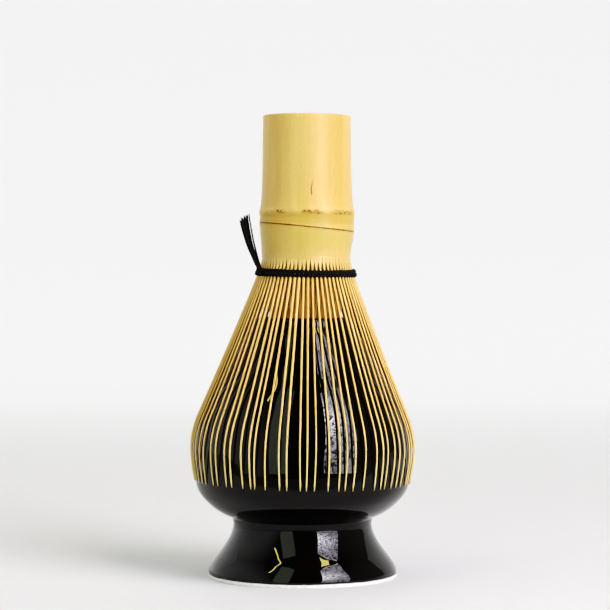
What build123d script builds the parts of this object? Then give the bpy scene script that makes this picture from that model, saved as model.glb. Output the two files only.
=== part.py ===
from build123d import *
import math
import os
import random

# A bamboo tea whisk standing on the glazed holder that keeps its tines in shape.
# Millimetres, +Z up, origin at the centre of the holder's foot, on the table.

# ---- holder: one thrown and fired shell, open at the mouth and under the foot
HOLDER_HEIGHT = 80.4
BULB_RADIUS = 33.6
BULB_LEVEL = 35.5
BULB_UNDERSIDE = 18.8
NECK_RADIUS = 17.4
NECK_LEVEL = 75.6
LIP_RADIUS = 15.2
WAIST_RADIUS = 21.4
WAIST_LEVEL = 16.4
FOOT_RADIUS = 29.1
FOOT_INSIDE_RADIUS = 26.4
FOOT_EDGE = 2.4
HOLDER_WALL = 3.1
MOUTH_RADIUS = 12.6

# ---- whisk: a culm of bamboo whose lower half is split into two rings of tines
GRIP_SHIFT = 1.12
GRIP_TOP = 142.9
GRIP_TOP_RADIUS = 13.55
NODE_LEVEL = 113.0
NODE_RADIUS = 14.75
SCAR_LEVEL = 108.4
SCAR_RADIUS = 14.65
GRIP_FOOT_LEVEL = 98.7
GRIP_FOOT_RADIUS = 13.7
GRIP_BORE_RADIUS = 10.2
DIAPHRAGM_TOP = 114.2
DIAPHRAGM_BOTTOM = 110.6
RIM_ROUNDING = 0.45

# ---- the cage of tines leans a little, because it sits askew on the bulb
CAGE_LEAN = 1.05
CAGE_PIVOT = Vector(0, 0, 34.6)

# ---- tines
ROOT_LEVEL = 93.5
STUB_END = 94.3
STUB_THICKNESS = 0.85
CROTCH_LEVEL = 97.9
SLOT_WIDTH = 0.32
OUTER_COUNT = 70
OUTER_GROUPS = 14
OUTER_ROOT_RADIUS = 15.05
OUTER_ROOT_WIDTH = 1.0
OUTER_TIP_WIDTH = 0.56
OUTER_TIP_THICKNESS = 0.4
OUTER_THICKNESS_TAPER = 0.42
OUTER_SCATTER = 0.9
INNER_COUNT = 70
INNER_GROUPS = 7
INNER_ROOT_RADIUS = 12.75
INNER_ROOT_WIDTH = 0.85
INNER_TIP_WIDTH = 0.3
INNER_TIP_THICKNESS = 0.3
INNER_THICKNESS_TAPER = 0.3
INNER_SCATTER = 0.08
SCATTER_SEED = 11

# The outline of a tine from its root down: (radius of bend, turn in degrees), each bend
# tangent to the one before. A positive turn carries the tine outward.
OUTER_ROOT_ANGLE = 19.0
OUTER_BENDS = ((120.0, 2.6), (1580.0, 1.5), (28.5, -23.1), (58.5, -9.2))
INNER_ROOT_ANGLE = -9.0
INNER_BENDS = ((400.0, 5.0), (1200.0, 1.2))

# ---- black cotton lacing
LACING_LOW = 93.4
LACING_ROW = 1.0
LACING_RADIUS = 15.85
LACING_LOWER_INSIDE = 15.35
LACING_UPPER_INSIDE = 14.7
KNOT_ANGLE = 210.0
KNOT_RADIUS = 1.1
KNOT_GAP = 0.02
TAIL_HEADING = 182.0
TAIL_SPAN = 16.0
TAIL_LIFT = 0.16
BUNDLE_SPREAD = 4.6
BUNDLE_RADIUS = 0.75
STRAND_STEP = 4.5
STRAND_SPREAD = 3.1
STRAND_RADIUS = 0.35


def around(angle, radius, level):
    """The point at a polar angle (degrees), a distance from the axis and a height."""
    turn = math.radians(angle)
    return Vector(radius * math.cos(turn), radius * math.sin(turn), level)


def cage_lean():
    """The lean of the tines and lacing about the bulb."""
    return Location(CAGE_PIVOT) * Location((0, 0, 0), (0, CAGE_LEAN, 0)) * Location(-CAGE_PIVOT)


def spun(edges):
    """A closed outline in the X-Z plane turned into a solid of revolution about Z."""
    face = make_face(edges)
    return revolve(Plane.XZ * face, Axis.Z, 360)


def holder_shell():
    """The glazed holder: foot ring, flared foot, waist, pear-shaped bulb and rounded lip."""
    lip_round = (LIP_RADIUS - MOUTH_RADIUS) / 2
    foot_under = Polyline((FOOT_INSIDE_RADIUS, 0), (FOOT_RADIUS - 0.5, 0), (FOOT_RADIUS, 0.5),
                          (FOOT_RADIUS, FOOT_EDGE))
    foot_flare = Spline(foot_under @ 1, (27.0, 6.2), (24.0, 10.2), (WAIST_RADIUS + 0.1, 15.2),
                        (WAIST_RADIUS + 0.5, BULB_UNDERSIDE), tangents=((-0.25, 1), (0.45, 1)))
    bulb = Spline(foot_flare @ 1, (27.0, 21.2), (31.3, 25.2), (33.2, 29.6), (BULB_RADIUS, BULB_LEVEL),
                  (33.3, 42.0), (31.9, 48.6), (28.5, 56.4), (23.7, 64.0), (NECK_RADIUS, NECK_LEVEL),
                  (LIP_RADIUS, HOLDER_HEIGHT - lip_round), tangents=((1, 0.45), (0, 1)))
    lip = ThreePointArc(bulb @ 1, (MOUTH_RADIUS + lip_round, HOLDER_HEIGHT),
                        (MOUTH_RADIUS, HOLDER_HEIGHT - lip_round))
    mouth = Line(lip @ 1, (MOUTH_RADIUS, NECK_LEVEL))
    cavity = Spline(mouth @ 1, (15.2, 71.6), (20.7, 63.0), (25.4, 55.0), (28.9, 47.4),
                    (BULB_RADIUS - HOLDER_WALL, BULB_LEVEL), (28.4, 25.8), (23.4, 21.8),
                    (WAIST_RADIUS - HOLDER_WALL, WAIST_LEVEL), (21.2, 10.0), (FOOT_INSIDE_RADIUS, 0))
    return spun([foot_under, foot_flare, bulb, lip, mouth, cavity])


def grip_culm():
    """The culm above the splits: open top, node ridge, closed node and the split skirt."""
    rim_outside = (GRIP_TOP_RADIUS, GRIP_TOP - RIM_ROUNDING)
    rim = Polyline((GRIP_BORE_RADIUS, GRIP_TOP - RIM_ROUNDING), (GRIP_BORE_RADIUS + RIM_ROUNDING, GRIP_TOP),
                   (GRIP_TOP_RADIUS - RIM_ROUNDING, GRIP_TOP), rim_outside)
    side = Spline(rim_outside, (13.75, 128.0), (14.1, 117.8), (NODE_RADIUS, NODE_LEVEL),
                  (14.5, 110.4), (SCAR_RADIUS, SCAR_LEVEL), (14.05, 104.0),
                  (GRIP_FOOT_RADIUS, GRIP_FOOT_LEVEL), tangents=((0.01, -1), (-0.02, -1)))
    outer_stub = OUTER_ROOT_RADIUS - 0.15
    inner_stub = INNER_ROOT_RADIUS + 0.05
    skirt = Polyline(side @ 1, (outer_stub, STUB_END), (outer_stub - STUB_THICKNESS, STUB_END),
                     (13.2, CROTCH_LEVEL), (inner_stub, STUB_END), (inner_stub - STUB_THICKNESS, STUB_END),
                     (12.1, CROTCH_LEVEL), (GRIP_BORE_RADIUS + 0.4, 101.0),
                     (GRIP_BORE_RADIUS + 0.4, DIAPHRAGM_BOTTOM), (0, DIAPHRAGM_BOTTOM))
    hollow = Polyline((0, DIAPHRAGM_BOTTOM), (0, DIAPHRAGM_TOP), (GRIP_BORE_RADIUS, DIAPHRAGM_TOP),
                      rim @ 0)
    culm = spun([rim, side, skirt, hollow])
    slot = Pos(INNER_ROOT_RADIUS + 1.3, 0, STUB_END + 1.9) * Box(6.0, SLOT_WIDTH, 4.2)
    pitch = 360 / OUTER_COUNT
    slots = [Rot(0, 0, (index + 0.5) * pitch) * slot for index in range(OUTER_COUNT)]
    return Pos(GRIP_SHIFT, 0, 0) * (culm - slots)


def tine_edge(start, angle, bends, inset):
    """One long edge of a tine as tangent arcs; inset moves it towards the whisk's axis."""
    tilt = math.radians(angle)
    heading = Vector(math.sin(tilt), -math.cos(tilt))
    point = start - Vector(math.cos(tilt), math.sin(tilt)) * inset
    arcs = []
    for radius, turn in bends:
        side = 1 if turn > 0 else -1
        arc = JernArc(point, heading, radius + side * inset, turn)
        arcs.append(arc)
        point = arc @ 1
        heading = arc % 1
    return arcs


def tine_blank(root_radius, angle, bends, tip_thickness, taper, root_width, tip_width):
    """One tine in the X-Z plane: half-round root on the hinge line, thinning to its tip."""
    outer = tine_edge(Vector(root_radius, ROOT_LEVEL), angle, bends, 0)
    tip = outer[-1] @ 1
    about_tip = Axis((tip.X, tip.Y, 0), (0, 0, 1))
    inner = [arc.rotate(about_tip, taper) for arc in tine_edge(outer[0] @ 0, angle, bends, tip_thickness)]
    root_outer = outer[0] @ 0
    root_inner = inner[0] @ 0
    hinge = (root_outer + root_inner) * 0.5
    across = root_outer - root_inner
    crown = hinge + Vector(-across.Y, across.X) * 0.5
    root_end = ThreePointArc(root_outer, crown, root_inner)
    tip_end = Line(tip, inner[-1] @ 1)
    profile = Plane.XZ * make_face([*outer, tip_end, *inner, root_end])
    slab = extrude(profile, root_width / 2, both=True)
    top = crown.Y + 0.5
    bottom = tip.Y - 1.0
    wedge = Polyline((-root_width / 2, top), (root_width / 2, top), (tip_width / 2, bottom),
                     (-tip_width / 2, bottom), close=True)
    cheeks = extrude(Plane.YZ * make_face(wedge), 60)
    return slab & cheeks, Vector(hinge.X, 0, hinge.Y)


def tine_ring(blank, hinge, count, groups, scatter):
    """All the tines of one ring, in groups that flex together, scattered as hand-split ones are."""
    draw = random.Random(SCATTER_SEED)
    pitch = 360 / count
    each = count // groups
    lean = cage_lean()
    radial = Axis(hinge, (1, 0, 0))
    ring = []
    for group in range(groups):
        tines = []
        for index in range(each):
            tilt = draw.uniform(-scatter, scatter)
            angle = (group * each + index - (each - 1) / 2) * pitch
            tines.append(lean * Rot(0, 0, angle) * blank.rotate(radial, tilt))
        ring.append(Compound(children=tines))
    return ring


def lacing_row(low, inside):
    """One turn of the twined lacing: a flattened ring round the roots of the tines."""
    high = low + LACING_ROW
    middle = (low + high) / 2
    back = Polyline((LACING_RADIUS - 0.25, high), (inside, high), (inside, low),
                    (LACING_RADIUS - 0.25, low))
    front = ThreePointArc(back @ 1, (LACING_RADIUS, middle), back @ 0)
    return cage_lean() * spun([back, front])


def lacing_knot():
    """The knot that ends the lacing, at the left of the whisk."""
    place = around(KNOT_ANGLE, LACING_RADIUS + KNOT_RADIUS + KNOT_GAP, LACING_LOW + LACING_ROW)
    return cage_lean() * Pos(place) * Sphere(KNOT_RADIUS)


def thread_tail(angle, spread, radius):
    """A loose end of the lacing thread, standing up from the knot and leaning away from the grip."""
    level = LACING_LOW + LACING_ROW + KNOT_RADIUS + TAIL_LIFT
    foot = around(angle, LACING_RADIUS + KNOT_RADIUS / 2, level)
    knee = foot + around(TAIL_HEADING, spread * 0.55, TAIL_SPAN * 0.45)
    tip = foot + around(TAIL_HEADING, spread, TAIL_SPAN)
    path = FilletPolyline(foot, knee, tip, radius=TAIL_SPAN)
    section = Plane(origin=path @ 0, z_dir=path % 0) * Circle(radius)
    return cage_lean() * sweep(section, path=path)


def write(name, shape):
    """Writes one sub-part to its own file."""
    shape.label = name
    export_step(shape, os.path.join("parts", name + ".step"))


def main():
    os.makedirs("parts", exist_ok=True)
    write("holder_shell", holder_shell())
    write("grip_culm", grip_culm())
    outer, outer_hinge = tine_blank(OUTER_ROOT_RADIUS, OUTER_ROOT_ANGLE, OUTER_BENDS, OUTER_TIP_THICKNESS,
                                    OUTER_THICKNESS_TAPER, OUTER_ROOT_WIDTH, OUTER_TIP_WIDTH)
    inner, inner_hinge = tine_blank(INNER_ROOT_RADIUS, INNER_ROOT_ANGLE, INNER_BENDS, INNER_TIP_THICKNESS,
                                    INNER_THICKNESS_TAPER, INNER_ROOT_WIDTH, INNER_TIP_WIDTH)
    outer_ring = tine_ring(outer, outer_hinge, OUTER_COUNT, OUTER_GROUPS, OUTER_SCATTER)
    for number, group in enumerate(outer_ring, start=1):
        write(f"outer_tines_{number:02d}", group)
    inner_ring = tine_ring(inner, inner_hinge, INNER_COUNT, INNER_GROUPS, INNER_SCATTER)
    for number, group in enumerate(inner_ring, start=1):
        write(f"inner_tines_{number:02d}", group)
    write("lacing_row_lower", lacing_row(LACING_LOW, LACING_LOWER_INSIDE))
    write("lacing_row_upper", lacing_row(LACING_LOW + LACING_ROW, LACING_UPPER_INSIDE))
    write("lacing_knot", lacing_knot())
    write("thread_tail_bundle", thread_tail(KNOT_ANGLE, BUNDLE_SPREAD, BUNDLE_RADIUS))
    write("thread_tail_strand", thread_tail(KNOT_ANGLE + STRAND_STEP, STRAND_SPREAD, STRAND_RADIUS))


main()
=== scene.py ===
import math
import random

import bmesh
import bpy
from mathutils import Matrix, Vector, noise


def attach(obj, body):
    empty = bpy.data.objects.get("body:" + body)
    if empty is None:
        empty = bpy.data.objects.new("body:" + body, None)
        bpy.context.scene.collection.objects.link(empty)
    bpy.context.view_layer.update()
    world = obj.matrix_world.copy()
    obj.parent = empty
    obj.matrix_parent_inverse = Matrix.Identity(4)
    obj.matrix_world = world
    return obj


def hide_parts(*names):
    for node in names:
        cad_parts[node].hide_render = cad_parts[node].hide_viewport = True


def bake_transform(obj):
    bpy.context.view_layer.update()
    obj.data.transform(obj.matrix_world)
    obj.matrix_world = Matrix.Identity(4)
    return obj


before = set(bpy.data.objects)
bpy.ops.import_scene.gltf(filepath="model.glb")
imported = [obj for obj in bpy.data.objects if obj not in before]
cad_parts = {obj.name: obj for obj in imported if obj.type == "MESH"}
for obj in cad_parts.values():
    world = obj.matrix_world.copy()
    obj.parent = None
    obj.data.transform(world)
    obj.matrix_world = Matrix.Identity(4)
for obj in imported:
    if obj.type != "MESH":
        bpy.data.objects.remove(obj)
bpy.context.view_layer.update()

# A bamboo tea whisk on its black glazed holder. Shapes are worked out in millimetres and
# stored in metres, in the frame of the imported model.
MM = 0.001

# ---- driving dimensions, in millimetres and degrees
CAGE_LEAN = 1.05
CAGE_PIVOT = Vector((0, 0, 34.6))
GRIP_SHIFT_LOW = 1.12
GRIP_SHIFT_HIGH = 1.38
GRIP_TOP = 142.9
GRIP_BORE = 10.2
CULM_END = 97.3
DIAPHRAGM_TOP = 114.2
DIAPHRAGM_BOTTOM = 110.6
SCAR_LEVEL = 108.35
SCAR_SLANT = 1.4
NODE_LEVEL = 113.0
ROOT_LEVEL = 93.5
TINES = 70
OUTER_GROUPS = 14
INNER_GROUPS = 7
SCATTER_SEED = 11
# The two rings of tines. bends holds the radius and the turn of each arc down from the lacing,
# plus outward; joined, tuck and offset say how far the top merges with the wall, how far
# the tip is tucked in, and how far round the top is turned.
OUTER = dict(root_radius=15.05, angle=19.0, bends=((120.0, 2.6), (1580.0, 1.5), (28.5, -23.1), (58.5, -9.2)),
             top=(13.63, 99.3), top_angle=1.5, root_width=0.87, tip_width=0.5, tip_thickness=0.4,
             taper=0.42, scatter=0.9, joined=1.0, tuck=0.75, offset=0.0)
INNER = dict(root_radius=12.75, angle=-9.0, bends=((400.0, 5.0), (1200.0, 1.2)),
             top=(12.6, 98.4), top_angle=-1.0, root_width=0.95, tip_width=0.3, tip_thickness=0.3,
             taper=0.3, scatter=0.08, joined=0.8, tuck=0.0, offset=1.29)
# Where the freckles in front are: the middle and the half width of each group, across the culm.
NODE_SPOTS = ((-6.7, 1.6), (2.6, 3.6), (12.3, 3.4))
LACING_LEVELS = (93.85, 94.85)
LACING_SAG = 0.35
LACING_CENTRES = (15.2, 14.88)
KNOT_ANGLE = 210.0
FOOT_BARE = 1.2

# ---- how finely round forms are cut
CULM_SPOKES = 280
HOLDER_SPOKES = 256
STEPS_PER_TINE = 8

# ---- thread
THREAD_RADIUS = 0.34
KNOT_THREAD_RADIUS = 0.36
HAIR_RADIUS = 0.075
THREAD_TWIST = 2.4
PLIES = 3
PLY_DEPTH = 0.16
FRAYS = 6
KNOT_RADIUS = 15.9
KNOT_LEVEL = 94.6
KNOT_SIZE = 0.36

# ---- colours, and the camera and studio in metres
CULM_FOOT_COLOUR = (214, 183, 110)
WARM = (1.0, 0.88, 0.32, 1.0)
CAMERA_PLACE = (0.0008, -0.719, 0.0975)
CAMERA_DIP = 1.06
CAMERA_LENS = 136.9
# Each bright wall: the axis it lies on, where it starts and is full, and its strength.
WALLS = (("Y", 0.4, 0.75, 1.15), ("Z", 0.94, 0.99, 1.5), ("X", -0.45, -0.85, 0.95), ("X", 0.5, 0.9, 0.25))
DARK_ROOM = 0.04
PRINT_CURVE = ((0.015, 0.0035), (0.05, 0.018), (0.12, 0.10), (0.3, 0.335), (0.5, 0.565), (0.78, 0.8))
FLOOR_FRONT = -0.19
FLOOR_BEND = 0.9
FLOOR_TOP = 2.6
FLOOR_HALF_WIDTH = 3.0
FLOOR_GLOW = 0.80


# ---------------------------------------------------------------- shapes

def lean():
    """The lean of the tines and lacing about the bulb."""
    return (Matrix.Translation(CAGE_PIVOT) @ Matrix.Rotation(math.radians(CAGE_LEAN), 4, "Y")
            @ Matrix.Translation(-CAGE_PIVOT))


LEAN = lean()


def smooth_step(value, low, high):
    """0 below low, 1 above high and smooth between."""
    share = min(max((value - low) / (high - low), 0.0), 1.0)
    return share * share * (3 - 2 * share)


def smooth_curve(points, steps):
    """A smooth line through a few points, each span cut into steps."""
    knots = [Vector((p[0], p[1])) for p in points]
    first = knots[0] * 2 - knots[1]
    last = knots[-1] * 2 - knots[-2]
    knots = [first, *knots, last]
    line = []
    for a, b, c, d in zip(knots, knots[1:], knots[2:], knots[3:]):
        ta = 0.0
        tb = ta + (b - a).length ** 0.5
        tc = tb + (c - b).length ** 0.5
        td = tc + (d - c).length ** 0.5
        for step in range(steps):
            t = tb + (tc - tb) * step / steps
            ab = a * ((tb - t) / (tb - ta)) + b * ((t - ta) / (tb - ta))
            bc = b * ((tc - t) / (tc - tb)) + c * ((t - tb) / (tc - tb))
            cd = c * ((td - t) / (td - tc)) + d * ((t - tc) / (td - tc))
            abc = ab * ((tc - t) / (tc - ta)) + bc * ((t - ta) / (tc - ta))
            bcd = bc * ((td - t) / (td - tb)) + cd * ((t - tb) / (td - tb))
            line.append(abc * ((tc - t) / (tc - tb)) + bcd * ((t - tb) / (tc - tb)))
    line.append(knots[-2])
    return line


def rounded(start, corner, end, steps):
    """A quadratic round from start to end, towards corner."""
    a, b, c = Vector(start), Vector(corner), Vector(end)
    line = []
    for step in range(steps + 1):
        t = step / steps
        line.append(a * (1 - t) ** 2 + b * 2 * t * (1 - t) + c * t * t)
    return line


class Surface:
    """Points and faces gathered for one mesh, with the grain direction kept at each point."""

    def __init__(self):
        self.points = []
        self.faces = []
        self.grain = []
        self.tint = []

    def add_rings(self, rings, grains, tint=0.5, ends="open"):
        """Joins successive rings of points with quads. The first and last rings are left open,
        capped, or joined to each other."""
        base = len(self.points)
        count = len(rings[0])
        for ring, grain in zip(rings, grains):
            self.points.extend(ring)
            self.grain.extend(grain)
            self.tint.extend([tint] * count)
        rows = len(rings) if ends == "joined" else len(rings) - 1
        for row in range(rows):
            here = base + row * count
            after = base + (row + 1) % len(rings) * count
            for index in range(count):
                across = (index + 1) % count
                self.faces.append((here + index, here + across, after + across, after + index))
        if ends == "capped":
            end = base + (len(rings) - 1) * count
            self.faces.append(tuple(range(base + count - 1, base - 1, -1)))
            self.faces.append(tuple(range(end, end + count)))

    def build(self, name, material):
        """The finished object, in metres, with its faces turned outward."""
        mesh = bpy.data.meshes.new(name)
        mesh.from_pydata([tuple(c * MM for c in p) for p in self.points], [], self.faces)
        solid = bmesh.new()
        solid.from_mesh(mesh)
        if solid.calc_volume(signed=True) < 0:
            mesh.flip_normals()
        solid.free()
        mesh.polygons.foreach_set("use_smooth", [True] * len(mesh.polygons))
        grain = mesh.attributes.new("grain", "FLOAT_VECTOR", "POINT")
        grain.data.foreach_set("vector", [c for g in self.grain for c in g])
        tint = mesh.attributes.new("tint", "FLOAT", "POINT")
        tint.data.foreach_set("value", self.tint)
        mesh.materials.append(material)
        mesh.update()
        piece = bpy.data.objects.new(name, mesh)
        bpy.context.scene.collection.objects.link(piece)
        return piece


def revolved(surface, profile, spokes, wobble, ends):
    """Turns a profile of (radius, height) into rings about Z. wobble moves each point a little."""
    rings = []
    grains = []
    for radius, height in profile:
        ring = []
        for index in range(spokes):
            angle = 2 * math.pi * index / spokes
            r, z, x = wobble(radius, height, angle)
            ring.append((x + r * math.cos(angle), r * math.sin(angle), z))
        rings.append(ring)
        grains.append([(p[0], p[1], p[2] * 0.06) for p in ring])
    surface.add_rings(rings, grains, ends=ends)


# ---------------------------------------------------------------- materials

class Shader:
    """A node material with short calls for the nodes used here."""

    def __init__(self, name):
        self.material = bpy.data.materials.new(name)
        self.material.use_nodes = True
        self.nodes = self.material.node_tree.nodes
        self.links = self.material.node_tree.links
        self.principled = self.nodes["Principled BSDF"]

    def node(self, kind, **inputs):
        made = self.nodes.new(kind)
        for key, value in inputs.items():
            self.put(made.inputs[key.replace("_", " ")], value)
        return made

    def put(self, socket, value):
        """Sets a socket to a number or links an output to it."""
        if isinstance(value, bpy.types.NodeSocket):
            self.links.new(value, socket)
        else:
            socket.default_value = value

    def attribute(self, name):
        made = self.nodes.new("ShaderNodeAttribute")
        made.attribute_name = name
        return made

    def scaled(self, vector, scale):
        made = self.nodes.new("ShaderNodeVectorMath")
        made.operation = "MULTIPLY"
        self.put(made.inputs[0], vector)
        made.inputs[1].default_value = scale
        return made.outputs[0]

    def noise(self, vector, scale, detail=4.0, roughness=0.55, distortion=0.0):
        made = self.node("ShaderNodeTexNoise", Vector=vector, Scale=scale, Detail=detail,
                         Roughness=roughness, Distortion=distortion)
        return made.outputs["Fac"]

    def math(self, operation, a, b=0.0, c=None):
        made = self.nodes.new("ShaderNodeMath")
        made.operation = operation
        self.put(made.inputs[0], a)
        self.put(made.inputs[1], b)
        if c is not None:
            self.put(made.inputs[2], c)
        return made.outputs[0]

    def times(self, a, b):
        return self.math("MULTIPLY", a, b)

    def rest(self, share):
        """What a share leaves of 1."""
        return self.math("SUBTRACT", 1.0, share)

    def away(self, value, centre):
        """How far a value is from a centre."""
        return self.math("ABSOLUTE", self.math("SUBTRACT", value, centre))

    def remap(self, value, low, high, to_low=0.0, to_high=1.0):
        made = self.nodes.new("ShaderNodeMapRange")
        made.interpolation_type = "SMOOTHSTEP"
        for socket, number in zip(("Value", "From Min", "From Max", "To Min", "To Max"),
                                  (value, low, high, to_low, to_high)):
            self.put(made.inputs[socket], number)
        return made.outputs["Result"]

    def fade(self, distance, inner, outer):
        """1 up to the inner distance, and 0 past the outer one."""
        return self.rest(self.remap(distance, inner, outer))

    def between(self, value, rise, fall, peak=1.0):
        """The peak between a rise and a fall, each given by where it starts and ends."""
        return self.times(self.remap(value, *rise, 0.0, peak), self.remap(value, *fall, 1.0, 0.0))

    def mix(self, share, a, b):
        made = self.nodes.new("ShaderNodeMix")
        made.data_type = "RGBA"
        self.put(made.inputs["Factor"], share)
        self.put(made.inputs["A"], a)
        self.put(made.inputs["B"], b)
        return made.outputs["Result"]

    def bump(self, height, strength, distance):
        made = self.node("ShaderNodeBump", Height=height, Strength=strength, Distance=distance)
        return made.outputs["Normal"]

    def set(self, **inputs):
        for key, value in inputs.items():
            self.put(self.principled.inputs[key.replace("_", " ")], value)


def srgb(red, green, blue):
    """A colour given in 0-255 display values, as linear RGBA."""
    linear = []
    for channel in (red, green, blue):
        value = channel / 255
        linear.append(value / 12.92 if value <= 0.04045 else ((value + 0.055) / 1.055) ** 2.4)
    return (*linear, 1.0)


def bamboo_base(shader, grain, light, dark, streak):
    """Fibres and slow colour drift along the grain, shared by the culm and the tines."""
    drift = shader.noise(grain, 0.32, 3.0, 0.55)
    fibre = shader.noise(grain, 7.5, 5.0, 0.62)
    fine = shader.noise(grain, 22.0, 3.0, 0.6)
    colour = shader.mix(shader.remap(drift, 0.3, 0.7), light, dark)
    colour = shader.mix(shader.times(shader.remap(fibre, 0.48, 0.74), 0.5), colour, streak)
    colour = shader.mix(shader.times(shader.remap(fine, 0.55, 0.8), 0.3), colour, streak)
    return fibre, fine, colour


def scar_marks(shader, place, x, z):
    """The slanted scar's dark line, and the paler halo beside it."""
    leaning = shader.math("MULTIPLY_ADD", x, SCAR_SLANT / 14.6, z)
    wander = shader.noise(place, 160.0, 3.0)
    scar_at = shader.math("MULTIPLY_ADD", wander, 0.00035, (SCAR_LEVEL + 0.09) * MM - 0.000175)
    from_scar = shader.away(leaning, scar_at)
    thick = shader.remap(shader.noise(place, 420.0, 3.0), 0.3, 0.7, 0.00018, 0.00036)
    scar = shader.fade(from_scar, 0.00005, thick)
    halo = shader.times(shader.fade(from_scar, 0.0001, 0.0008), 0.3)
    return scar, halo


def node_marks(shader, place, x, z, facing):
    """Freckles and a stain along the node's ridge: in chosen groups in front, and scattered behind."""
    ridge_at = shader.math("MULTIPLY_ADD", x, -0.02, (NODE_LEVEL - 0.15) * MM)
    band = shader.fade(shader.away(z, ridge_at), 0.0002, 0.0009)
    squeezed = shader.scaled(place, (1.0, 1.0, 1.8))
    outline = shader.away(shader.noise(squeezed, 500.0, 2.0, 0.5), 0.5)
    freckle = shader.fade(outline, 0.016, 0.06)
    scattered = shader.remap(shader.noise(place, 95.0, 1.0), 0.5, 0.58)
    chosen = 0.0
    for middle, half in NODE_SPOTS:
        inside = shader.fade(shader.away(x, middle * MM), half * 0.6 * MM, half * MM)
        chosen = shader.math("MAXIMUM", chosen, inside)
    cluster = shader.math("MAXIMUM", shader.times(chosen, facing),
                          shader.times(scattered, shader.rest(facing)))
    spots = shader.times(shader.times(band, freckle), cluster)
    blotch = shader.remap(shader.noise(place, 240.0, 3.0), 0.5, 0.7, 0.0, 0.35)
    stain = shader.times(band, shader.math("MULTIPLY_ADD", cluster, 0.3, blotch))
    return spots, stain


def streak_mark(shader, place, x, z, facing):
    """The short brown streak above the node."""
    wander = shader.math("MULTIPLY_ADD", shader.noise(place, 300.0, 2.0), 0.0012, 0.00225)
    line = shader.fade(shader.away(x, wander), 0.00005, 0.00022)
    return shader.times(shader.times(line, facing), shader.between(z, (0.1178, 0.1182), (0.1192, 0.1235)))


def culm_material():
    """Dried bamboo skin: vertical fibres, brown freckles at the node and a slanted brown scar."""
    shader = Shader("bamboo_culm")
    grain = shader.attribute("grain").outputs["Vector"]
    fibre, fine, colour = bamboo_base(
        shader, grain, srgb(220, 188, 115), srgb(211, 177, 98), srgb(189, 148, 73))
    place = shader.nodes.new("ShaderNodeTexCoord").outputs["Object"]
    split = shader.node("ShaderNodeSeparateXYZ", Vector=place)
    x, z = split.outputs["X"], split.outputs["Z"]
    facing = shader.remap(split.outputs["Y"], -0.004, 0.0, 1.0, 0.0)
    scar, halo = scar_marks(shader, place, x, z)
    spots, stain = node_marks(shader, place, x, z, facing)
    streak = streak_mark(shader, place, x, z, facing)
    below_scar = shader.between(z, (0.0995, 0.1035), (0.107, 0.112), 0.5)
    foot = shader.remap(z, 0.0992, 0.1015, 0.85, 0.0)
    # Between the scar and the node's ridge: the skin's olive tone, with painted shade in the shallow groove.
    olive_and_groove_shade = shader.between(z, (0.1083, 0.1100), (0.1118, 0.1130), 0.6)
    foot_edge = shader.remap(z, 0.0978, 0.0986, 0.9, 0.0)
    bundles = shader.noise(shader.scaled(place, (1.0, 1.0, 0.02)), 2600.0, 2.0, 0.6)
    cut_end = shader.remap(z, GRIP_TOP * MM - 0.0002, GRIP_TOP * MM - 0.0001)
    dots = shader.times(cut_end, shader.remap(bundles, 0.54, 0.66, 0.0, 0.75))
    layers = ((below_scar, (206, 183, 98)), (foot, CULM_FOOT_COLOUR), (olive_and_groove_shade, (190, 156, 66)),
              (stain, (160, 116, 48)), (halo, (186, 140, 62)), (spots, (104, 48, 14)),
              (streak, (128, 70, 22)), (scar, (104, 50, 22)), (foot_edge, (112, 62, 20)),
              (dots, (150, 106, 50)))
    for share, shade in layers:
        colour = shader.mix(share, colour, srgb(*shade))
    rough = shader.remap(fibre, 0.3, 0.7, 0.30, 0.44)
    height = shader.math("MULTIPLY_ADD", fine, 0.4, fibre)
    height = shader.math("SUBTRACT", height, shader.times(scar, 1.2))
    shader.set(Base_Color=colour, Roughness=rough, IOR=1.38, Subsurface_Weight=0.08,
               Subsurface_Radius=(0.0012, 0.0007, 0.0003), Normal=shader.bump(height, 0.35, 0.00006))
    return shader.material


def tine_material(name, light, dark, streak, crown):
    """Split bamboo: long fibres, darker pith with painted shade on the cut sides, each tine a little lighter
    or darker than the next, paler at the tip and the crown's colour above the lacing."""
    shader = Shader(name)
    grain = shader.attribute("grain").outputs["Vector"]
    fibre, fine, colour = bamboo_base(shader, grain, srgb(*light), srgb(*dark), srgb(*streak))
    tint = shader.attribute("tint").outputs["Fac"]
    colour = shader.mix(shader.times(tint, 0.4), colour, srgb(*streak))
    split = shader.node("ShaderNodeSeparateXYZ", Vector=grain)
    down = split.outputs["Z"]
    tip = shader.remap(down, 2.0, 3.3, 0.0, 0.8)
    # Above the lacing the crown's colour is mixed in; for the inner ring it is painted deep shade.
    above = shader.remap(down, -0.2, -0.04, 0.9, 0.0)
    # The cut sides: the pith's darker colour, deepened by painted shade.
    pith_and_side_shade = shader.remap(split.outputs["Y"], -0.45, -0.1, 0.95, 0.0)
    for share, shade in ((tip, (222, 206, 140)), (above, crown), (pith_and_side_shade, (150, 92, 36))):
        colour = shader.mix(share, colour, srgb(*shade))
    rough = shader.remap(fibre, 0.3, 0.7, 0.30, 0.46)
    height = shader.math("MULTIPLY_ADD", fine, 0.5, fibre)
    shader.set(Base_Color=colour, Roughness=rough, IOR=1.45, Normal=shader.bump(height, 0.3, 0.00004))
    return shader.material


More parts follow.
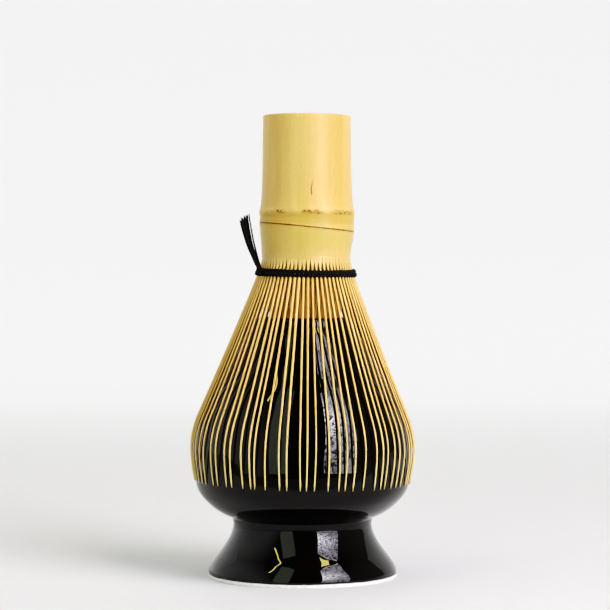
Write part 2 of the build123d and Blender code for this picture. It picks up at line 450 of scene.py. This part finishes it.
def glaze_material():
    """Mirror-gloss black glaze over a white body that shows on the bare foot ring."""
    shader = Shader("black_glaze")
    place = shader.nodes.new("ShaderNodeTexCoord").outputs["Object"]
    z = shader.node("ShaderNodeSeparateXYZ", Vector=place).outputs["Z"]
    edge = shader.math("MULTIPLY_ADD", shader.noise(place, 90.0, 3.0), 0.0005, FOOT_BARE * MM - 0.00025)
    bare = shader.fade(shader.math("SUBTRACT", z, edge), -0.00006, 0.00008)
    clay = shader.mix(shader.remap(shader.noise(place, 700.0, 3.0), 0.35, 0.75),
                      srgb(226, 226, 222), srgb(214, 213, 208))
    glaze = shader.mix(shader.remap(shader.noise(place, 60.0, 2.0), 0.35, 0.7),
                       (0.0034, 0.0025, 0.0019, 1.0), (0.0050, 0.0037, 0.0028, 1.0))
    colour = shader.mix(bare, glaze, clay)
    gloss = shader.remap(shader.noise(place, 900.0, 2.0), 0.4, 0.8, 0.010, 0.022)
    rough = shader.math("MULTIPLY_ADD", bare, 0.55, gloss)
    shader.set(Base_Color=colour, Roughness=rough, IOR=1.48,
               Normal=shader.bump(shader.noise(place, 330.0, 2.0, 0.5), 0.05, 0.0001))
    return shader.material


def thread_material():
    """Black cotton: matt, with the twist's fine fibres."""
    shader = Shader("black_thread")
    grain = shader.attribute("grain").outputs["Vector"]
    fibre = shader.noise(grain, 9.0, 4.0, 0.65)
    colour = shader.mix(shader.remap(fibre, 0.35, 0.75), srgb(11, 9, 8), srgb(40, 35, 31))
    shader.set(Base_Color=colour, Roughness=0.82, IOR=1.4, Sheen_Weight=0.08, Sheen_Roughness=0.5,
               Normal=shader.bump(fibre, 0.6, 0.00008))
    return shader.material


# ---------------------------------------------------------------- the culm

# (radius, height) down the bark side, from the rim to the top of the tines.
CULM_SIDE = ((13.53, 142.2), (13.6, 137.8), (13.74, 127.9), (13.93, 120.4), (14.13, 116.7), (14.4, 114.5),
             (14.7, 113.5), (14.78, 112.95), (14.7, 112.3), (14.55, 110.9), (14.6, 109.4), (14.66, 108.2),
             (14.56, 107.3), (14.33, 105.4), (14.1, 103.6), (13.88, 101.8), (13.72, 99.8), (13.68, 98.9))


def culm_wobble(radius, height, angle):
    """The culm's slight ovalness, its axis's drift at the node, and the slanted scar."""
    side = math.cos(angle)
    where = Vector((math.cos(angle) * 1.1, math.sin(angle) * 1.1, height * 0.07))
    unit = min(radius / 13.5, 1.0)
    r = radius + unit * (0.10 * noise.noise(where) + 0.03 * noise.noise(where * 6))
    slanted = smooth_step(height, 99.5, 106.5) * (1 - smooth_step(height, 109.3, 112.6))
    z = height - SCAR_SLANT * side * slanted * unit
    if radius > 13.0:
        r -= 0.11 * math.exp(-((height - SCAR_LEVEL) / 0.10) ** 2)
        r += 0.05 * math.exp(-((height - SCAR_LEVEL - 0.3) / 0.16) ** 2)
        rough = noise.noise(Vector((math.cos(angle) * 9, math.sin(angle) * 9, height * 0.9)))
        r += 0.07 * rough * math.exp(-((height - NODE_LEVEL + 0.1) / 0.7) ** 2)
    if height > GRIP_TOP - 1.5:
        z -= 0.18 * (0.5 + 0.5 * side)
    x = GRIP_SHIFT_LOW + (GRIP_SHIFT_HIGH - GRIP_SHIFT_LOW) * smooth_step(height, 99.0, 112.0)
    return r, z, x


def dense_rows(profile, low, high, step):
    """More rows between two heights of a side profile that runs downward."""
    rows = []
    for (ra, za), (rb, zb) in zip(profile, profile[1:]):
        rows.append((ra, za))
        if low < zb and za < high:
            pieces = max(1, math.ceil((za - zb) / step))
            for index in range(1, pieces):
                share = index / pieces
                rows.append((ra + (rb - ra) * share, za + (zb - za) * share))
    rows.append(tuple(profile[-1]))
    return rows


def make_culm(material):
    """The grip: bark side, cut rim, bore down to the closed node, and the hollow under it."""
    side = [tuple(p) for p in smooth_curve(CULM_SIDE, 5)]
    side = dense_rows(side, SCAR_LEVEL - 1.15, SCAR_LEVEL + 0.85, 0.09)
    rim = rounded((GRIP_BORE + 0.05, GRIP_TOP - 0.5), (GRIP_BORE + 0.1, GRIP_TOP),
                  (GRIP_BORE + 0.8, GRIP_TOP), 4)
    rim += [Vector((11.6, GRIP_TOP + 0.02)), Vector((12.4, GRIP_TOP + 0.02))]
    rim += rounded((13.1, GRIP_TOP), (13.5, GRIP_TOP), (13.53, GRIP_TOP - 0.45), 5)
    bore = [(0.02, DIAPHRAGM_TOP + 0.5), (4.0, DIAPHRAGM_TOP + 0.35), (7.5, DIAPHRAGM_TOP + 0.2),
            (9.4, DIAPHRAGM_TOP + 0.6), (GRIP_BORE - 0.1, DIAPHRAGM_TOP + 1.6), (GRIP_BORE, 120.0),
            (GRIP_BORE, 128.0), (GRIP_BORE, 136.0)]
    under = rounded((13.68, 98.7), (13.6, 98.0), (12.9, CULM_END), 5)
    under += [Vector((12.3, CULM_END - 0.1)), Vector((11.8, CULM_END + 0.3)), Vector((11.4, 98.6)),
              Vector((10.7, 101.0)), Vector((GRIP_BORE + 0.4, 105.0)), Vector((GRIP_BORE + 0.3, 109.0)),
              Vector((9.5, DIAPHRAGM_BOTTOM - 0.3)), Vector((6.0, DIAPHRAGM_BOTTOM)),
              Vector((0.02, DIAPHRAGM_BOTTOM))]
    profile = bore + [tuple(p) for p in rim] + side[1:] + [tuple(p) for p in under]
    surface = Surface()
    revolved(surface, profile, CULM_SPOKES, culm_wobble, "capped")
    culm = surface.build("culm", material)
    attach(culm, "whisk")
    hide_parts("grip_culm")


# ---------------------------------------------------------------- the tines

# (across, depth) round a tine, as shares of its width and its thickness, from the outer face.
TINE_SECTION = ((-0.24, -0.02), (0.0, 0.03), (0.24, -0.02), (0.4, -0.13), (0.49, -0.34), (0.5, -0.6),
                (0.44, -0.86), (0.26, -1.0), (-0.26, -1.0), (-0.44, -0.86), (-0.5, -0.6), (-0.49, -0.34),
                (-0.4, -0.13))
# How wide each tine is above its root, where it merges with the wall, as a share of its radius.
SHARE_OF_WALL = 1.25 / 13.66
TIP_ROUND = 0.5


def tine_path(kind):
    """(radius, height, angle from vertical, distance from the lacing) down the outer face of a tine."""
    radius, level = kind["root_radius"], ROOT_LEVEL
    angle = math.radians(kind["angle"])
    top_radius, top_level = kind["top"]
    top_angle = math.radians(kind["top_angle"])
    reach = top_level - level
    path = []
    steps = 12
    for step in range(steps):
        t = step / steps
        h00, h10 = 2 * t ** 3 - 3 * t ** 2 + 1, t ** 3 - 2 * t ** 2 + t
        h01, h11 = -2 * t ** 3 + 3 * t ** 2, t ** 3 - t ** 2
        r = (h00 * top_radius + h10 * reach * math.tan(top_angle) + h01 * radius
             + h11 * reach * math.tan(angle))
        turn = top_angle + (angle - top_angle) * t
        path.append((r, top_level - reach * t, turn, -reach * (1 - t)))
    distance = 0.0
    path.append((radius, level, angle, distance))
    for bend, turn in kind["bends"]:
        total = math.radians(turn)
        length = abs(total) * bend
        pieces = max(5, round(length / 1.6))
        part = total / pieces
        chord = length / pieces
        for _ in range(pieces):
            middle = angle + part / 2
            radius += math.sin(middle) * chord
            level -= math.cos(middle) * chord
            angle += part
            distance += chord
            path.append((radius, level, angle, distance))
    return path


def make_tine(surface, kind, path, place, draw):
    """One tine: a chamfered strip with a crowned outer face, thinning to a rounded tip."""
    length = path[-1][3]
    bow = draw.uniform(-0.10, 0.10)
    plump = draw.uniform(0.93, 1.07)
    tint = draw.random()
    key = draw.uniform(0, 500)
    rings = []
    grains = []
    for radius, level, angle, distance in path:
        share = max(distance, 0.0) / length
        width = kind["root_width"] + (kind["tip_width"] - kind["root_width"]) * share
        width *= plump + 0.05 * noise.noise(Vector((key, distance * 0.16, 0)))
        thick = kind["tip_thickness"] + math.radians(kind["taper"]) * (length - max(distance, 0.0))
        shoulder = 1.0
        if distance < 0:
            joined = min(max((-distance - 2.0) / 2.4, 0.0), 1.0)
            width *= 1 - 0.14 * smooth_step(-distance, 0.2, 1.3)
            width += (SHARE_OF_WALL * radius - width) * joined * kind["joined"]
            shoulder -= 0.95 * smooth_step(-distance, 1.8, 4.4)
        end = length - distance
        if end < TIP_ROUND:
            rounding = math.sqrt(max(1 - (1 - end / TIP_ROUND) ** 2, 0.0))
            width *= 0.45 + 0.55 * rounding
            thick *= 0.55 + 0.45 * rounding
        sway = bow * math.sin(math.pi * share) + 0.05 * noise.noise(Vector((key, distance * 0.08, 7)))
        sway *= smooth_step(distance, 0.0, 8.0)
        out = Vector((math.cos(angle), 0, math.sin(angle)))
        spot = Vector((radius - kind["tuck"] * smooth_step(share, 0.80, 1.06), sway, level))
        offset = math.radians(kind["offset"]) * (1 - smooth_step(distance, 14.0, 50.0))
        twist = Matrix.Rotation(offset, 4, "Z")
        ring = []
        grain = []
        for across, depth in TINE_SECTION:
            level_off = shoulder if depth > -0.5 else 1.0
            point = spot + out * (depth * thick * level_off) + Vector((0, across * width, 0))
            ring.append(tuple(LEAN @ twist @ place @ point))
            grain.append((across * width + key, depth * thick, distance * 0.05))
        rings.append(ring)
        grains.append(grain)
    surface.add_rings(rings, grains, tint=tint, ends="capped")


def tine_ring(kind, groups, label, material):
    """A ring of tines, one mesh for each group."""
    path = tine_path(kind)
    scatter = random.Random(SCATTER_SEED)
    draw = random.Random(SCATTER_SEED + groups)
    pitch = 2 * math.pi / TINES
    each = TINES // groups
    root = Vector((kind["root_radius"], 0, ROOT_LEVEL))
    for group in range(groups):
        surface = Surface()
        for index in range(each):
            tilt = math.radians(scatter.uniform(-kind["scatter"], kind["scatter"]))
            angle = (group * each + index - (each - 1) / 2) * pitch
            place = (Matrix.Rotation(angle, 4, "Z") @ Matrix.Translation(root)
                     @ Matrix.Rotation(tilt, 4, "X") @ Matrix.Translation(-root))
            make_tine(surface, kind, path, place, draw)
        name = f"{label}_{group + 1:02d}"
        piece = surface.build(f"{name}_strips", material)
        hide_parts(name)
        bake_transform(piece)


# ---------------------------------------------------------------- the thread

def plied(surface, line, radius, twist, closed, key=0.0, section=12):
    """A thread along a line of points: a lobed section that twists, so that its plies show. A
    closed thread's twist is trimmed so that its last ring meets its first."""
    stops = line + [line[0]] if closed else line
    frames = []
    normal = None
    walked = 0.0
    for index, point in enumerate(stops):
        after = stops[1] if closed and index + 1 == len(stops) else stops[min(index + 1, len(stops) - 1)]
        before = stops[-2] if closed and index == 0 else stops[max(index - 1, 0)]
        along = (after - before).normalized()
        if normal is None:
            normal = along.orthogonal().normalized()
        normal = (normal - along * normal.dot(along)).normalized()
        if index:
            walked += (point - stops[index - 1]).length
        frames.append((point, normal, along.cross(normal), walked))
    if closed:
        slip = math.atan2(normal.dot(frames[0][2]), normal.dot(frames[0][1]))
        twist = (2 * math.pi * round((slip + walked * twist) / (2 * math.pi)) - slip) / walked
    rings = []
    grains = []
    for point, normal, side, walked in frames:
        ring = []
        grain = []
        for corner in range(section):
            angle = 2 * math.pi * corner / section
            turned = angle + walked * twist
            r = radius * (1 + PLY_DEPTH * math.cos(PLIES * angle))
            ring.append(tuple(point + (normal * math.cos(turned) + side * math.sin(turned)) * r))
            grain.append((key + r * math.cos(turned), r * math.sin(turned), walked * 0.12))
        rings.append(ring)
        grains.append(grain)
    surface.add_rings(rings, grains, ends="open" if closed else "capped")


def make_lacing_row(name, node, level, centre, slant, material):
    """A row of twining: two threads that cross between every pair of tines."""
    surface = Surface()
    steps = TINES * STEPS_PER_TINE
    draw = random.Random(round(level * 10))
    for strand in range(2):
        line = []
        key = draw.uniform(0, 100)
        for step in range(steps):
            angle = 2 * math.pi * step / steps
            phase = TINES / 2 * angle + math.pi * strand
            loose = 0.05 * noise.noise(Vector((math.cos(angle) * 7, math.sin(angle) * 7, key)))
            r = centre + 0.27 * math.cos(phase) + loose
            z = level + LACING_SAG * math.sin(angle) + slant * 0.42 * math.sin(phase) + loose
            line.append(LEAN @ Vector((r * math.cos(angle), r * math.sin(angle), z)))
        plied(surface, line, THREAD_RADIUS, THREAD_TWIST, True, key)
    piece = surface.build(name, material)
    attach(piece, "whisk")
    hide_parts(node)


def knot_place():
    """Where the thread is knotted, on the outside of the lacing."""
    turn = math.radians(KNOT_ANGLE)
    return LEAN @ Vector((KNOT_RADIUS * math.cos(turn), KNOT_RADIUS * math.sin(turn), KNOT_LEVEL))


def make_knot(material):
    """The overhand knot that locks the lacing's end."""
    surface = Surface()
    turn = math.radians(KNOT_ANGLE)
    out = Vector((math.cos(turn), math.sin(turn), 0))
    side = Vector((-math.sin(turn), math.cos(turn), 0))
    up = Vector((0, 0, 1))
    centre = knot_place()
    line = []
    steps = 90
    for step in range(steps):
        t = 2 * math.pi * step / steps
        a = (math.sin(t) + 2 * math.sin(2 * t)) * KNOT_SIZE
        b = (math.cos(t) - 2 * math.cos(2 * t)) * KNOT_SIZE
        c = -math.sin(3 * t) * 0.34
        line.append(centre + side * a + up * b + out * (c + 0.15))
    plied(surface, line, KNOT_THREAD_RADIUS, THREAD_TWIST, True)
    piece = surface.build("thread_knot", material)
    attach(piece, "whisk")
    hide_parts("lacing_knot")


def tail_strand(surface, top, sag, radius, draw):
    """One loose thread from the knot up to its cut end, with its fibres frayed there."""
    foot = knot_place() + Vector((draw.uniform(-0.45, 0.45), draw.uniform(-0.3, 0.3), 0.2))
    middle = foot.lerp(top, 0.5) + sag
    points = []
    steps = 34
    for step in range(steps + 1):
        t = step / steps
        point = foot * (1 - t) ** 2 + middle * 2 * t * (1 - t) + top * t * t
        sway = Vector((noise.noise(Vector((t * 3, radius * 90, 1))),
                       noise.noise(Vector((t * 3, radius * 90, 5))), 0))
        points.append(point + sway * 0.12)
    plied(surface, points, radius, 2.2, False, draw.uniform(0, 50))
    heading = (points[-1] - points[-3]).normalized()
    for _ in range(FRAYS):
        spread = Vector((draw.uniform(-1, 1), draw.uniform(-1, 1), draw.uniform(-0.4, 0.4)))
        start = points[-2] + spread * (radius * 0.6)
        reach = draw.uniform(0.35, 1.0)
        hair = [start + heading * (reach * s / 4) + spread * (0.12 * (s / 4) ** 2) for s in range(5)]
        plied(surface, hair, HAIR_RADIUS, 1.0, False, draw.uniform(0, 50), section=6)


def make_tail(name, node, tops, sag, radius, seed, material):
    """A loose end of the lacing thread, standing beside the grip."""
    surface = Surface()
    draw = random.Random(seed)
    for top in tops:
        tail_strand(surface, Vector(top), Vector(sag), radius, draw)
    piece = surface.build(name, material)
    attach(piece, "whisk")
    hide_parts(node)


# ---------------------------------------------------------------- the holder

def holder_profile():
    """(radius, height) from the foot's inner edge, up the outside, over the lip and down inside."""
    foot = [Vector((26.4, 0.25)), Vector((26.65, 0.05)), Vector((27.2, 0.0)), Vector((28.3, 0.0))]
    foot += rounded((28.6, 0.0), (29.05, 0.0), (29.1, 0.5), 4)
    foot += [Vector((29.12, 1.2))]
    flare = smooth_curve([(29.12, 1.8), (29.0, 2.6), (28.3, 4.2), (26.9, 6.3), (25.4, 8.2), (24.05, 10.1),
                          (22.9, 12.0), (22.0, 13.9), (21.5, 15.6), (21.45, 16.9), (21.75, 18.1)], 6)
    crease = rounded(flare[-1], (21.9, 18.55), (22.6, 18.9), 5)
    bulb = smooth_curve([(22.9, 19.0), (25.2, 20.05), (27.5, 21.55), (29.5, 23.3), (31.3, 25.3),
                         (32.55, 27.5), (33.25, 30.2), (33.55, 33.0), (33.6, 35.5), (33.3, 42.0),
                         (31.9, 48.6), (28.5, 56.4), (23.7, 64.0), (19.4, 71.6), (17.4, 75.6),
                         (16.0, 77.6)], 8)
    lip = rounded((15.6, 78.2), (15.1, 80.4), (13.9, 80.4), 7)
    lip += rounded((13.6, 80.38), (12.65, 80.3), (12.6, 78.8), 6)
    inside = smooth_curve([(12.6, 78.4), (12.6, 75.8), (15.2, 71.6), (20.7, 63.0), (25.4, 55.0),
                           (28.9, 47.4), (30.5, 35.5), (28.4, 25.8), (23.4, 21.8), (18.3, 16.4),
                           (21.2, 10.0), (26.2, 0.7)], 5)
    return [tuple(p) for part in (foot, flare, crease[1:], bulb, lip, inside) for p in part]


def holder_wobble(radius, height, angle):
    """Slow throwing waves in the wall, a few hundredths of a millimetre deep."""
    where = Vector((math.cos(angle) * radius * 0.05, math.sin(angle) * radius * 0.05, height * 0.07))
    above = smooth_step(height, 0.5, 4.0)
    return radius + above * 0.035 * noise.noise(where * 2.2), height, 0.0


def make_holder(material):
    """The glazed holder as one turned shell."""
    surface = Surface()
    revolved(surface, holder_profile(), HOLDER_SPOKES, holder_wobble, "joined")
    piece = surface.build("holder", material)
    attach(piece, "holder")
    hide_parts("holder_shell")


# ---------------------------------------------------------------- stage, lights and camera

def paper_material():
    """White paper: lit from its own side towards the back, and in shade near its front edge."""
    shader = Shader("sweep_paper")
    place = shader.nodes.new("ShaderNodeTexCoord").outputs["Object"]
    split = shader.node("ShaderNodeSeparateXYZ", Vector=place)
    back = shader.remap(split.outputs["Y"], -0.15, 1.25)
    front = shader.remap(split.outputs["Y"], -0.105, -0.075)
    pale = shader.mix(front, (0.2, 0.2, 0.2, 1.0), (0.78, 0.78, 0.79, 1.0))
    shader.set(Base_Color=shader.mix(back, pale, (0.1, 0.1, 0.1, 1.0)), Roughness=0.75,
               Emission_Color=(1.0, 1.0, 1.0, 1.0), Emission_Strength=shader.times(back, FLOOR_GLOW))
    return shader.material


def make_sweep():
    """A pale floor that curves up behind the object and ends a little in front of it."""
    rows = [(FLOOR_FRONT, 0.0), (0.0, 0.0), (0.3, 0.0), (0.6, 0.0), (FLOOR_BEND, 0.0)]
    steps = 12
    for step in range(1, steps + 1):
        turn = math.pi / 2 * step / steps
        rows.append((FLOOR_BEND + FLOOR_BEND * math.sin(turn), FLOOR_BEND - FLOOR_BEND * math.cos(turn)))
    rows.append((2 * FLOOR_BEND, FLOOR_TOP))
    points = []
    for y, z in rows:
        points += [(-FLOOR_HALF_WIDTH, y, z), (FLOOR_HALF_WIDTH, y, z)]
    faces = [(2 * i, 2 * i + 1, 2 * i + 3, 2 * i + 2) for i in range(len(rows) - 1)]
    mesh = bpy.data.meshes.new("sweep")
    mesh.from_pydata(points, [], faces)
    mesh.polygons.foreach_set("use_smooth", [True] * len(mesh.polygons))
    mesh.materials.append(paper_material())
    sweep = bpy.data.objects.new("sweep", mesh)
    bpy.context.scene.collection.objects.link(sweep)


def around(azimuth, distance, height):
    """A place round the object; azimuth 0 is the camera's side, + to its right."""
    turn = math.radians(azimuth)
    return Vector((math.sin(turn) * distance, -math.cos(turn) * distance, height))


def make_panel(name, low, high, colour, strengths, folds, glow=0.0):
    """A diffuser panel that gives light and is unseen by the camera. low and high hold its left
    and right azimuth, distance and height, and strengths run from its foot to its head. folds
    is how far its creases darken, and glow is the strength that a lamp behind its left adds."""
    left, right, distance, height = low
    corners = [around(left, distance, height), around(right, distance, height)]
    left, right, distance, height = high
    corners += [around(right, distance, height), around(left, distance, height)]
    mesh = bpy.data.meshes.new(name)
    mesh.from_pydata([tuple(c) for c in corners], [], [(0, 1, 2, 3)])
    wide = (corners[1] - corners[0]).length
    tall = (corners[2] - corners[1]).length
    cloth = mesh.attributes.new("cloth", "FLOAT_VECTOR", "POINT")
    cloth.data.foreach_set("vector", [0, 0, 0, wide, 0, 0, wide, tall, 0, 0, tall, 0])
    shader = Shader(name)
    shader.nodes.remove(shader.principled)
    place = shader.attribute("cloth").outputs["Vector"]
    up = shader.node("ShaderNodeSeparateXYZ", Vector=place).outputs["Y"]
    from_lamp = shader.nodes.new("ShaderNodeVectorMath")
    from_lamp.operation = "DISTANCE"
    shader.put(from_lamp.inputs[0], place)
    from_lamp.inputs[1].default_value = (wide * 0.08, tall * 0.5, 0.0)
    lamp = shader.remap(from_lamp.outputs["Value"], 0.0, 0.75, glow, 0.0)
    power = shader.math("ADD", shader.remap(up, 0.0, tall, *strengths), lamp)
    crease = shader.noise(shader.scaled(place, (0.6, 1.0, 1.0)), 16.0, 4.0, 0.7, 1.2)
    dim = shader.remap(crease, 0.455, 0.515, 1.0 - folds, 1.0)
    emission = shader.node("ShaderNodeEmission", Color=colour, Strength=shader.times(power, dim))
    shader.links.new(emission.outputs[0], shader.nodes["Material Output"].inputs["Surface"])
    mesh.materials.append(shader.material)
    panel = bpy.data.objects.new(name, mesh)
    bpy.context.scene.collection.objects.link(panel)
    panel.visible_camera = False


def make_world():
    """Bright studio walls behind, beside and above, and a dark room behind the camera."""
    world = bpy.data.worlds.new("studio")
    bpy.context.scene.world = world
    world.use_nodes = True
    nodes, links = world.node_tree.nodes, world.node_tree.links
    background = nodes["Background"]
    direction = nodes.new("ShaderNodeTexCoord").outputs["Generated"]
    split = nodes.new("ShaderNodeSeparateXYZ")
    links.new(direction, split.inputs[0])
    strength = None
    for axis, start, end, full in WALLS:
        remap = nodes.new("ShaderNodeMapRange")
        remap.interpolation_type = "SMOOTHSTEP"
        links.new(split.outputs[axis], remap.inputs["Value"])
        remap.inputs["From Min"].default_value = start
        remap.inputs["From Max"].default_value = end
        remap.inputs["To Min"].default_value = DARK_ROOM
        remap.inputs["To Max"].default_value = full
        if strength is None:
            strength = remap.outputs["Result"]
            continue
        brighter = nodes.new("ShaderNodeMath")
        brighter.operation = "MAXIMUM"
        links.new(strength, brighter.inputs[0])
        links.new(remap.outputs["Result"], brighter.inputs[1])
        strength = brighter.outputs[0]
    links.new(strength, background.inputs["Strength"])
    background.inputs["Color"].default_value = (1.0, 1.0, 1.0, 1.0)


def develop_film():
    """Plain display colours with the deep blacks of a studio print."""
    view = bpy.context.scene.view_settings
    view.view_transform = "Standard"
    view.use_curve_mapping = True
    curve = view.curve_mapping.curves[3]
    for shade, printed in PRINT_CURVE:
        curve.points.new(shade, printed)
    view.curve_mapping.update()


def make_camera():
    """A long lens at the height of the tines, looking almost level."""
    data = bpy.data.cameras.new("camera")
    data.lens = CAMERA_LENS
    data.sensor_width = 36.0
    camera = bpy.data.objects.new("camera", data)
    bpy.context.scene.collection.objects.link(camera)
    camera.location = CAMERA_PLACE
    camera.rotation_euler = (math.radians(90 - CAMERA_DIP), 0, 0)
    data.clip_start, data.clip_end = 0.01, 20
    bpy.context.scene.camera = camera


def make_lights():
    """A large creased key at the right, a dim fill at the left, and a narrow warm lamp on each side."""
    make_panel("key_panel", (22, 58, 1.25, -0.08), (33, 75, 0.95, 1.56), (0.98, 0.95, 1.05, 1.0),
               (6.0, 6.2), 0.93, glow=17.0)
    make_panel("key_lamp", (38, 60, 0.86, 1.58), (52, 66, 0.72, 1.80), WARM, (14.0, 14.0), 0.0)
    make_panel("fill_panel", (-35, -15.8, 1.3, -0.08), (-44, -15.3, 1.0, 1.86), (0.9, 1.0, 0.85, 1.0),
               (1.6, 1.5), 0.1)
    make_panel("fill_lamp", (-55, -52.3, 1.0, 1.08), (-54, -50.8, 0.8, 1.78), WARM, (14.0, 14.0), 0.0)


def main():
    develop_film()
    make_camera()
    make_sweep()
    make_world()
    make_lights()
    outer = tine_material("bamboo_tines", (234, 203, 126), (221, 186, 106), (198, 152, 74), CULM_FOOT_COLOUR)
    # The inner ring is the outer bamboo in darker, warmer colours: painted shade for tines inside the cage,
    # with painted deep shade on its crown.
    inner = tine_material("bamboo_core", (228, 176, 96), (210, 152, 76), (176, 112, 46), (92, 46, 14))
    thread = thread_material()
    make_holder(glaze_material())
    make_culm(culm_material())
    tine_ring(OUTER, OUTER_GROUPS, "outer_tines", outer)
    tine_ring(INNER, INNER_GROUPS, "inner_tines", inner)
    make_lacing_row("lacing_upper", "lacing_row_upper", LACING_LEVELS[1], LACING_CENTRES[1], 1, thread)
    make_lacing_row("lacing_lower", "lacing_row_lower", LACING_LEVELS[0], LACING_CENTRES[0], -1, thread)
    make_knot(thread)
    make_tail("tail_bundle", "thread_tail_bundle",
              [(-18.85, -8.2, 110.1), (-18.5, -8.7, 110.9), (-18.05, -8.0, 110.5), (-17.7, -8.6, 111.3),
               (-17.25, -8.1, 110.9), (-16.95, -8.7, 111.6)], (-1.3, 0, -1.9), 0.36, 5, thread)
    make_tail("tail_strand", "thread_tail_strand",
              [(-16.35, -9.2, 111.9), (-16.2, -9.6, 110.9)], (-0.5, 0, -1.4), 0.19, 9, thread)


main()
